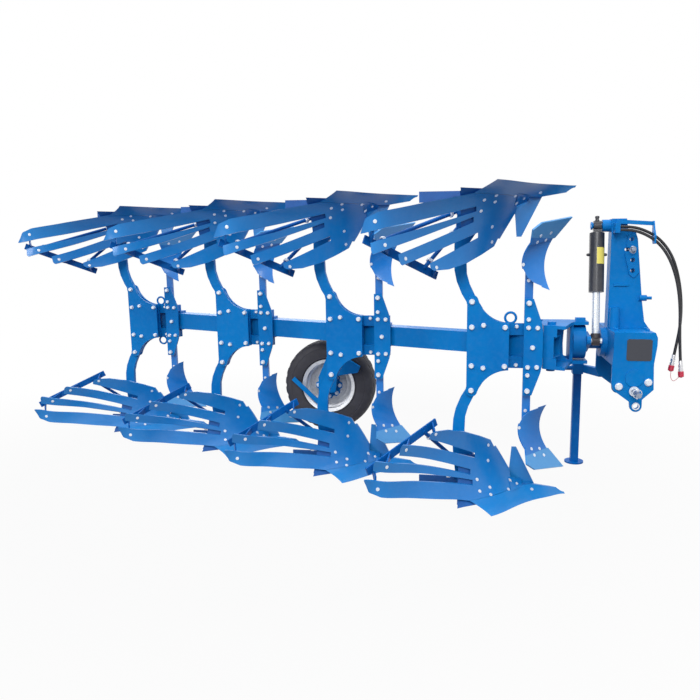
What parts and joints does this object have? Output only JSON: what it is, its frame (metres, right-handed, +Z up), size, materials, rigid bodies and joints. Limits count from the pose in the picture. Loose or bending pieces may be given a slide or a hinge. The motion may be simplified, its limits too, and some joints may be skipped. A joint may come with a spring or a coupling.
{
  "type": "mounted reversible moldboard plough",
  "caption": "Mounted reversible moldboard plough with slatted mouldboards above and below a slanting square beam, a turnover headstock, a depth wheel and a parking stand.",
  "frame": {"origin": "on the ground under the middle of the rigid plough as parked", "axes": "+X is the way of travel, +Y is to the left, +Z is up"},
  "size_m": [4.413, 2.0738, 1.748],
  "materials": {
    "blue_paint": "semi-gloss blue paint",
    "body_paint": "semi-gloss blue paint on curved steel",
    "share_paint": "new share steel under blue paint",
    "leg_paint": "semi-gloss blue paint on forged and flame-cut steel",
    "stay_paint": "dark blue paint",
    "frog_paint": "blue paint on cast steel",
    "skimmer_paint": "semi-gloss blue paint",
    "pin_steel": "zinc plated",
    "barrel_paint": "black paint",
    "rod_chrome": "hard chrome",
    "stand_zinc": "semi-gloss blue paint",
    "rim_paint": "silver paint",
    "tyre_rubber": "black rubber",
    "hose_rubber": "black hydraulic hose",
    "coupler_steel": "zinc plated couplers with red caps"
  },
  "bodies": {
    "headstock": {"headstock": "blue_paint", "hitch_tower": "blue_paint", "hitch_pins": "pin_steel", "stand_holder": "blue_paint", "hose_holder": "blue_paint", "hose_1": "hose_rubber", "hose_2": "hose_rubber", "hose_couplers": "coupler_steel"},
    "frame": {"turnover_drum": "blue_paint", "front_fork": "blue_paint", "beam": "blue_paint", "shares_lower": "share_paint", "shares_upper": "share_paint", "frogs_lower": "frog_paint", "frogs_upper": "frog_paint", "stays_lower": "stay_paint", "stays_upper": "stay_paint", "wheel_pivot": "blue_paint", "mouldboard_lower_1": "body_paint", "mouldboard_upper_1": "body_paint", "mouldboard_lower_2": "body_paint", "mouldboard_upper_2": "body_paint", "mouldboard_lower_3": "body_paint", "mouldboard_upper_3": "body_paint", "mouldboard_lower_4": "body_paint", "mouldboard_upper_4": "body_paint", "legs_1": "leg_paint", "leg_plates_1": "leg_paint", "console_1": "leg_paint", "skimmer_bracket_1": "leg_paint", "legs_2": "leg_paint", "leg_plates_2": "leg_paint", "console_2": "leg_paint", "skimmer_bracket_2": "leg_paint", "legs_3": "leg_paint", "leg_plates_3": "leg_paint", "console_3": "leg_paint", "skimmer_bracket_3": "leg_paint", "legs_4": "leg_paint", "leg_plates_4": "leg_paint", "console_4": "leg_paint", "skimmer_bracket_4": "leg_paint", "skimmer_lower_1": "skimmer_paint", "skimmer_upper_1": "skimmer_paint", "skimmer_lower_2": "skimmer_paint", "skimmer_upper_2": "skimmer_paint", "skimmer_lower_3": "skimmer_paint", "skimmer_upper_3": "skimmer_paint", "skimmer_lower_4": "skimmer_paint", "skimmer_upper_4": "skimmer_paint"},
    "cylinder_barrel": {"cylinder_barrel": "barrel_paint"},
    "cylinder_rod": {"cylinder_rod": "rod_chrome"},
    "wheel_arm": {"wheel_arm": "blue_paint"},
    "wheel": {"wheel_hub": "blue_paint", "wheel_rim": "rim_paint", "tyre": "tyre_rubber"},
    "stand": {"parking_stand": "stand_zinc"}
  },
  "joints": [
    {"name": "turnover", "type": "hinge", "parent": "headstock", "child": "frame", "pos_m": [1.81002, -0.21676, 0.874], "axis": [-1, 0, 0], "range_deg": [0, 180]},
    {"name": "cylinder_swing", "type": "hinge", "parent": "headstock", "child": "cylinder_barrel", "pos_m": [1.80702, -0.21676, 1.539], "axis": [1, 0, 0], "range_deg": [0, 19.04]},
    {"name": "rod_slide", "type": "slide", "parent": "cylinder_barrel", "child": "cylinder_rod", "axis": [0, -0.1654, -0.9862], "range_m": [-0.162, 0.038]},
    {"name": "wheel_arm_swing", "type": "hinge", "parent": "frame", "child": "wheel_arm", "pos_m": [0.17002, 0.28924, 0.874], "axis": [0, -1, 0], "range_deg": [0, 202.6]},
    {"name": "wheel_spin", "type": "hinge", "parent": "wheel_arm", "child": "wheel", "pos_m": [0.08802, 0.40624, 0.463], "axis": [0, 1, 0], "continuous": true},
    {"name": "stand_slide", "type": "slide", "parent": "headstock", "child": "stand", "axis": [0, 0, 1], "range_m": [0, 0.4]}
  ],
  "couplings": [
    {"joint": "cylinder_swing", "follows": "turnover", "ratio": 0.10578},
    {"joint": "rod_slide", "follows": "turnover", "m_per_rad": -0.05093}
  ]
}
